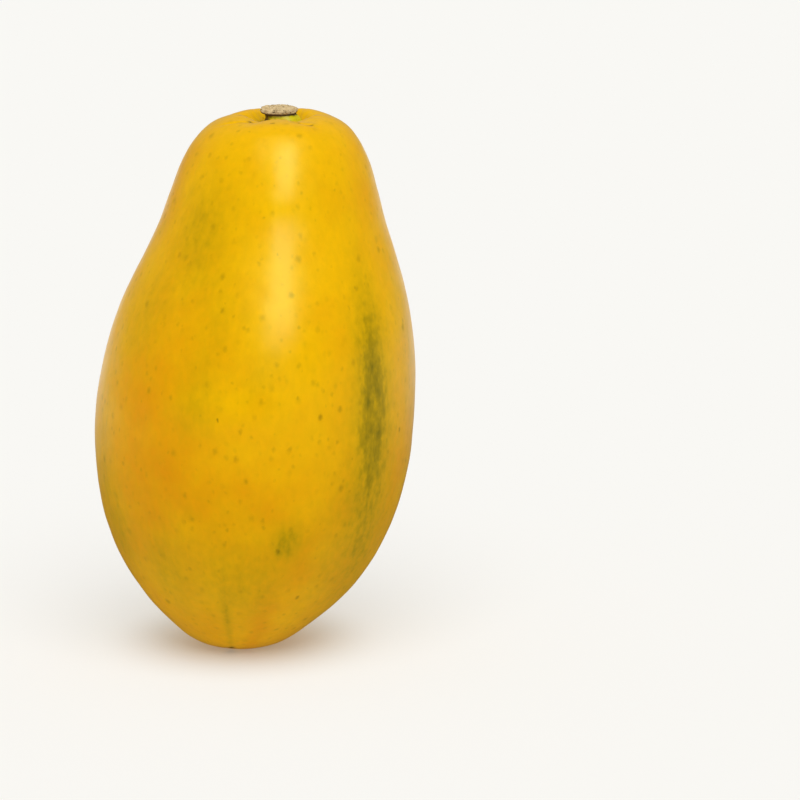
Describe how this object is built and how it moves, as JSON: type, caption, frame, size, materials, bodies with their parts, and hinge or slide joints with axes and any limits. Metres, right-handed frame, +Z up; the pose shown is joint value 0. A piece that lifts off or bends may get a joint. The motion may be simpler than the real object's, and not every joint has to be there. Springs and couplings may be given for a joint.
{
  "type": "papaya",
  "caption": "Whole ripe papaya, pear-shaped and leaning a little, standing on the small flat spot at its blossom end, with a dry stalk stub in the crown hollow.",
  "frame": {"origin": "centre of the flat spot at the blossom end, on the surface that the fruit stands on", "axes": "+Z up towards the crown, -Y the front, +X the side that the crown leans to"},
  "size_m": [0.1095, 0.1056, 0.1864],
  "materials": {
    "skin": "ripe waxy fruit skin, satin, golden yellow with orange, olive and green areas and fine dark specks",
    "dry_stalk": "matt dry cork on the broken end, yellow-green neck below it"
  },
  "bodies": {
    "root": {"papaya_fruit": "skin", "stem_stub": "dry_stalk"}
  },
  "joints": []
}
